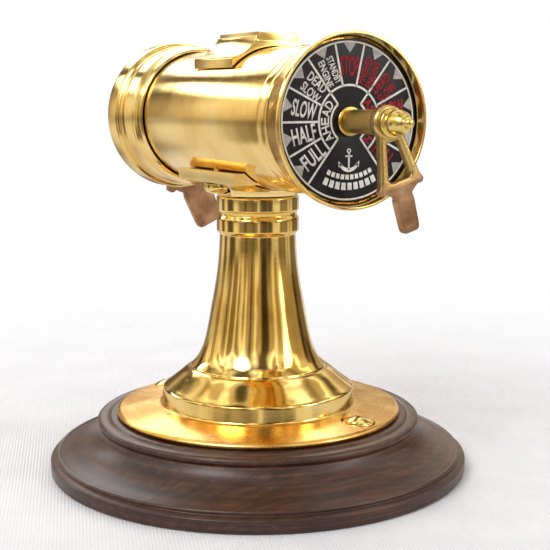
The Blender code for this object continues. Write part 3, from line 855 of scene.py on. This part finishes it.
def word_mesh(text, width, height, centre, degrees, low, high):
    """One word fitted to a width and height in mm, centred at a point and turned anticlockwise."""
    font = bpy.data.curves.new("word", "FONT")
    font.body = text
    font.size = 0.01
    font.resolution_u = 3
    font.offset = LETTER_BOLDNESS
    mesh = curve_mesh("word", font, LEVEL)
    xs = [vertex.co.x for vertex in mesh.vertices]
    ys = [vertex.co.y for vertex in mesh.vertices]
    middle = Vector(((min(xs) + max(xs)) / 2, (min(ys) + max(ys)) / 2, 0.0))
    stretch = (width * MM / (max(xs) - min(xs)), height * MM / (max(ys) - min(ys)))
    turn = Matrix.Rotation(math.radians(degrees), 4, "Z")
    place = Matrix.Translation((centre[0] * MM, centre[1] * MM, low * MM))
    shape = bmesh.new()
    shape.from_mesh(mesh)
    for vertex in shape.verts:
        offset = vertex.co - middle
        vertex.co = place @ turn @ Vector((offset.x * stretch[0], offset.y * stretch[1], 0.0))
    risen = bmesh.ops.extrude_face_region(shape, geom=shape.faces[:])
    lifted = [item for item in risen["geom"] if isinstance(item, bmesh.types.BMVert)]
    bmesh.ops.translate(shape, verts=lifted, vec=(0, 0, (high - low) * MM))
    bmesh.ops.recalc_face_normals(shape, faces=shape.faces)
    shape.to_mesh(mesh)
    shape.free()
    return mesh


def order_words(side_sign, orders):
    """Order words along the radii of one side, outermost letters first on the left and last on the right."""
    found = []
    radius = DIAL_RADIUS
    for number, lines in enumerate(orders, start=1):
        angle = side_sign * SECTOR * number
        along = 90 - angle if side_sign > 0 else -90 - angle
        for row, text in enumerate(lines):
            alone = len(lines) == 1
            long = len(text) > 5 or number == 1
            height = (0.205 if alone else 0.098 if long else 0.118) * radius
            width = (0.345 if alone or long else 0.30) * radius
            x, y = polar((0.665 if alone else 0.655) * radius, angle)
            rise = 0.0 if alone else (0.064 - 0.128 * row if long else 0.075 - 0.15 * row) * radius
            x -= math.sin(math.radians(along)) * rise
            y += math.cos(math.radians(along)) * rise
            found.append((text, width, height, (x, y), along))
    return found


def arc_word(text, radius, start, end, height):
    """The letters of a word along an arc, each upright on it."""
    found = []
    for index, letter in enumerate(text):
        angle = start + (end - start) * index / (len(text) - 1)
        found.append((letter, height * LETTER_WIDTH, height, polar(radius, angle), -angle))
    return found


def anchor():
    """A plain anchor: ring, stock, shank, curved arms and their tips."""
    x, y = 0.0, -0.49 * DIAL_RADIUS
    size = 0.15 * DIAL_RADIUS
    ring_centre = (x, y + size * 0.86)
    ring = [arc(ring_centre, size * share, 0, 345, 20) for share in (0.20, 0.10)]
    shank = [stroke((x, y + size * 0.66), (x, y - size * 0.72), size * 0.15)]
    stock_y = y + size * 0.42
    stock = [stroke((x - size * 0.34, stock_y), (x + size * 0.34, stock_y), size * 0.13)]
    outer = arc((x, y + size * 0.16), size * 1.04, 202, 338, 20)
    inner = arc((x, stock_y), size * 0.98, 326, 214, 20)
    shapes = [ring, shank, stock, [outer + inner]]
    for side in (-1, 1):
        tip = ((1.02, 0.02), (0.98, -0.48), (0.60, -0.30))
        shapes.append([[(x + side * size * across, y + size * up) for across, up in tip]])
    return shapes


def dial_lines():
    """The rings and the lines between sectors."""
    half = LINE_WIDTH / 2
    shapes = [[band(EDGE_RING - 0.1, EDGE_RING + 0.35, start, start + 179.9)] for start in (0, 180)]
    shapes.append([band(OUTER_ARC - half, OUTER_ARC + half, -LAST_LINE, LAST_LINE)])
    for side in (-1, 1):
        shapes.append([band(INNER_ARC - half, INNER_ARC + half, side * 1.5 * SECTOR, side * LAST_LINE)])
        for number in range(6):
            angle = side * SECTOR * (number + 0.5)
            start = INNER_ARC if number in (1, 5) else OUTER_ARC
            shapes.append([stroke(polar(start, angle), polar(EDGE_RING, angle), LINE_WIDTH)])
    return shapes


def title_blocks():
    """Two rows of plain blocks in the blank bottom part, in place of the title."""
    shapes = []
    for inner, outer, count in TITLE_ROWS:
        pitch = TITLE_ANGLE / count
        for index in range(count):
            start = 180 - TITLE_ANGLE / 2 + index * pitch
            shapes.append([band(inner * DIAL_RADIUS, outer * DIAL_RADIUS, start, start + pitch * 0.7)])
    return shapes


def arrow_points():
    """A triangle at the outer end of each sector, pointing inwards."""
    shapes = []
    for number in range(-5, 6):
        angle = number * SECTOR
        left = polar(EDGE_RING, angle - ARROW_HALF_WIDTH)
        right = polar(EDGE_RING, angle + ARROW_HALF_WIDTH)
        shapes.append([[left, right, polar(ARROW_TIP, angle)]])
    return shapes


def ahead_words():
    words = order_words(-1, [("STANDBY", "ENGINE"), ("DEAD", "SLOW"), ("SLOW",), ("HALF",), ("FULL",)])
    return words + arc_word("AHEAD", ARC_WORD_RADIUS, -124, -56, ARC_WORD_HEIGHT)


def astern_words():
    words = order_words(1, [("FINISHED", "ENGINE"), ("DEAD", "SLOW"), ("SLOW",), ("HALF",), ("FULL",)])
    words += arc_word("ASTERN", ARC_WORD_RADIUS, 51, 129, ARC_WORD_HEIGHT)
    stop = ("STOP", 0.28 * DIAL_RADIUS, 0.25 * DIAL_RADIUS, polar(0.66 * DIAL_RADIUS, 0), 0.0)
    return words + [stop]


def add_print(side, label, meshes, finish):
    """Joins thin meshes into one colour of print on a dial card. The meshes are used up."""
    name = f"{SIDES[side]}_{label}"
    joined = bmesh.new()
    for mesh in meshes:
        joined.from_mesh(mesh)
        bpy.data.meshes.remove(mesh)
    bmesh.ops.transform(joined, matrix=facing_out(side), verts=joined.verts)
    bmesh.ops.recalc_face_normals(joined, faces=joined.faces)
    mesh = bpy.data.meshes.new(name)
    joined.to_mesh(mesh)
    joined.free()
    add_piece(name, mesh, finish, f"{SIDES[side]}_dial_card", replaces=False)


def dial(side, name):
    face = CARD_FACE[side]
    back = face - CARD_THICKNESS
    hole = CARD_HOLE_RADIUS
    sheet = [(hole, face), (DIAL_RADIUS, face), (DIAL_RADIUS, back), (hole, back)]
    lathe(f"{name}_card_sheet", sheet, CARD_INK, f"{name}_dial_card", facing_out(side), cut=0.03)
    layer = (face + PRINT_LOW, face + PRINT_HIGH)
    lines = dial_lines() + anchor() + title_blocks()
    add_print(side, "dial_lines", [flat_shape(shape, *layer) for shape in lines], WHITE_INK)
    add_print(side, "dial_arrows", [flat_shape(shape, *layer) for shape in arrow_points()], GREY_INK)
    add_print(side, "ahead_words", [word_mesh(*word, *layer) for word in ahead_words()], WHITE_INK)
    add_print(side, "astern_words", [word_mesh(*word, *layer) for word in astern_words()], RED_INK)


def bush(side, name):
    flange_low = CARD_FACE[side] + GAP
    inner, outer = BUSH_OUT[side]
    profile = [(BUSH_BORE, outer), (BUSH_RADIUS - 0.3, outer), (BUSH_RADIUS, outer - 0.3)]
    profile += [(BUSH_RADIUS, flange_low), (BUSH_TUBE_RADIUS, flange_low)]
    profile += [(BUSH_TUBE_RADIUS, inner), (BUSH_BORE, inner)]
    facing = facing_out(side)
    lathe(f"{name}_flanged_bush", profile, BRASS_SATIN, f"{name}_bush", facing, cut=0.12, steps=96)


# ---------------------------------------------------------------- stage

def cloth(tree, coords):
    """(colour, thread height) of a pale woven cloth."""
    colour = ramp(tree, noise(tree, coords, 30.0), [(0.3, (0.62, 0.64, 0.72)), (0.7, (0.70, 0.72, 0.79))])
    threads = []
    for lean in (0.35, 1.92):
        turned = node(tree, "ShaderNodeMapping", in_Rotation=(0.0, 0.0, lean))
        tree.links.new(coords, turned.inputs["Vector"])
        wave = node(tree, "ShaderNodeTexWave", in_Scale=330.0, in_Distortion=0.6)
        tree.links.new(turned.outputs[0], wave.inputs["Vector"])
        threads.append(wave.outputs["Fac"])
    return colour, math_node(tree, "MULTIPLY", *threads)


def room_around(tree, coords, distance):
    """White near the object and patchy further out."""
    heading = node(tree, "ShaderNodeVectorMath", operation="NORMALIZE")
    tree.links.new(coords, heading.inputs[0])
    around = ramp(tree, noise(tree, heading.outputs[0], 2.6, 1.5), [
        (0.40, (0.05, 0.04, 0.03)), (0.46, (0.30, 0.25, 0.18)), (0.50, (0.22, 0.16, 0.10)),
        (0.54, (0.45, 0.40, 0.32)), (0.56, (1.0, 1.0, 0.95)),
    ])
    outside = ramp(tree, distance, [(0.24, (0, 0, 0)), (0.30, (1, 1, 1))])
    return blended(tree, outside, (1.0, 1.0, 1.0), around)


def floor_material():
    """Cloth that fades to white for the camera. Reflections see a patchy room beyond it instead."""
    made, tree, shader = new_material("pale_cloth_floor")
    coords = node(tree, "ShaderNodeTexCoord").outputs["Object"]
    reach = node(tree, "ShaderNodeVectorMath", operation="LENGTH")
    tree.links.new(coords, reach.inputs[0])
    distance = reach.outputs["Value"]
    seen = node(tree, "ShaderNodeLightPath").outputs["Is Camera Ray"]
    colour, threads = cloth(tree, coords)
    unseen = math_node(tree, "SUBTRACT", 1.0, seen)
    colour = blended(tree, unseen, colour, room_around(tree, coords, distance), "MULTIPLY")
    tree.links.new(colour, shader.inputs["Base Color"])
    shader.inputs["Roughness"].default_value = 0.9
    bumped(tree, shader, threads, 0.5, 0.0003)
    white = node(tree, "ShaderNodeEmission", in_Strength=1.0)
    fade = node(tree, "ShaderNodeMixShader")
    far = ramp(tree, distance, [(0.08, (0, 0, 0)), (0.20, (0.62, 0.62, 0.62)), (0.33, (1, 1, 1))])
    tree.links.new(math_node(tree, "MULTIPLY", far, seen), fade.inputs[0])
    tree.links.new(shader.outputs[0], fade.inputs[1])
    tree.links.new(white.outputs[0], fade.inputs[2])
    tree.links.new(fade.outputs[0], tree.nodes["Material Output"].inputs["Surface"])
    return made


def stage():
    mesh = bpy.data.meshes.new("floor")
    shape = bmesh.new()
    bmesh.ops.create_grid(shape, x_segments=1, y_segments=1, size=6.0)
    shape.to_mesh(mesh)
    shape.free()
    floor = placed("floor", mesh)
    floor.data.materials.append(floor_material())


def area_light(name, place, size, power, colour, aim=(0, 0, 0.08)):
    """An oval light. Its place, size and aim are in metres."""
    data = bpy.data.lights.new(name, "AREA")
    data.shape = "ELLIPSE"
    data.size, data.size_y = size
    data.energy = power
    data.color = colour
    obj = placed(name, data)
    obj.location = place
    obj.rotation_euler = (Vector(aim) - Vector(place)).to_track_quat("-Z", "Y").to_euler()


def lights():
    area_light("key", (-0.75, -0.35, 0.75), (0.5, 0.5), 6.0, (1.0, 0.99, 0.97))
    area_light("fill", (0.55, -0.75, 0.45), (0.3, 0.7), 2.2, (1.0, 0.98, 0.95))
    area_light("back", (0.25, 0.9, 0.7), (0.9, 0.5), 4.0, (1.0, 1.0, 1.0))
    area_light("window", (-0.44, 1.0, 0.525), (0.5, 0.17), 1.1, (1.0, 1.0, 1.0), (0.0, 0.0, 0.115))


def world():
    """A room with bright windows: dim at eye level, bright higher up, with soft upright bands around."""
    made = bpy.data.worlds.new("studio")
    made.use_nodes = True
    bpy.context.scene.world = made
    tree = made.node_tree
    tree.nodes.clear()
    direction = node(tree, "ShaderNodeTexCoord").outputs["Generated"]
    split = node(tree, "ShaderNodeSeparateXYZ")
    tree.links.new(direction, split.inputs[0])
    height = math_node(tree, "ADD", math_node(tree, "MULTIPLY", split.outputs["Z"], 0.5), 0.5)
    sky = ramp(tree, height, [
        (0.49, (0.34, 0.29, 0.22)), (0.55, (0.44, 0.39, 0.31)), (0.66, (0.60, 0.55, 0.47)),
        (0.72, (1.05, 1.04, 1.0)), (0.86, (1.0, 1.0, 1.0)), (0.885, (0.42, 0.34, 0.22)),
        (0.91, (0.95, 0.93, 0.88)), (1.00, (0.80, 0.80, 0.80)),
    ])
    squashed = node(tree, "ShaderNodeVectorMath", operation="MULTIPLY")
    tree.links.new(direction, squashed.inputs[0])
    squashed.inputs[1].default_value = (1.0, 1.0, 0.18)
    rooms = noise(tree, squashed.outputs[0], 2.4, 1.5)
    patches = ramp(tree, rooms, [
        (0.38, (0.10, 0.08, 0.06)), (0.44, (0.50, 0.44, 0.36)), (0.455, (0.95, 0.90, 0.82)),
        (0.53, (0.7, 0.64, 0.54)), (0.545, (2.0, 2.0, 2.0)), (0.60, (1.6, 1.6, 1.6)),
        (0.62, (0.5, 0.42, 0.3)),
    ])
    lit = node(tree, "ShaderNodeBackground", in_Strength=1.25)
    tree.links.new(blended(tree, 1.0, sky, patches, "MULTIPLY"), lit.inputs["Color"])
    seen = node(tree, "ShaderNodeBackground", in_Strength=1.0)
    seen.inputs["Color"].default_value = (1.0, 1.0, 1.0, 1.0)
    choose = node(tree, "ShaderNodeMixShader")
    tree.links.new(node(tree, "ShaderNodeLightPath").outputs["Is Camera Ray"], choose.inputs[0])
    tree.links.new(lit.outputs[0], choose.inputs[1])
    tree.links.new(seen.outputs[0], choose.inputs[2])
    tree.links.new(choose.outputs[0], node(tree, "ShaderNodeOutputWorld").inputs[0])


def camera():
    """The photo's viewpoint. Its distance, sideways shift and height are in metres."""
    azimuth = math.radians(-30.0)
    pitch = math.radians(8.84)
    distance = 0.346
    aside = 0.0052
    height = 0.112
    across = Vector((math.cos(azimuth), math.sin(azimuth), 0.0))
    back = Vector((math.sin(azimuth), -math.cos(azimuth), 0.0))
    data = bpy.data.cameras.new("camera")
    data.sensor_width = 36.0
    data.lens = 75.3
    data.clip_start = 0.01
    obj = placed("camera", data)
    obj.location = across * aside + back * distance + Vector((0, 0, height))
    obj.rotation_euler = (math.pi / 2 - pitch, 0.0, azimuth)
    bpy.context.scene.camera = obj


def main():
    for name, obj in nodes.items():
        obj.data.materials.clear()
        obj.data.materials.append(BY_SLOT[slot_of[name]])
    camera()
    world()
    stage()
    lights()
    wooden_base()
    pedestal()
    flange_screws()
    drum()
    rear_bezel()
    top_pad()
    saddle()
    saddle_screws()
    for side, name in SIDES.items():
        dial(side, name)
        bush(side, name)
        spacer(side, name)
        lever(side, name)
        acorn_nut(side, name)
    bpy.context.scene.view_settings.view_transform = "Standard"


main()
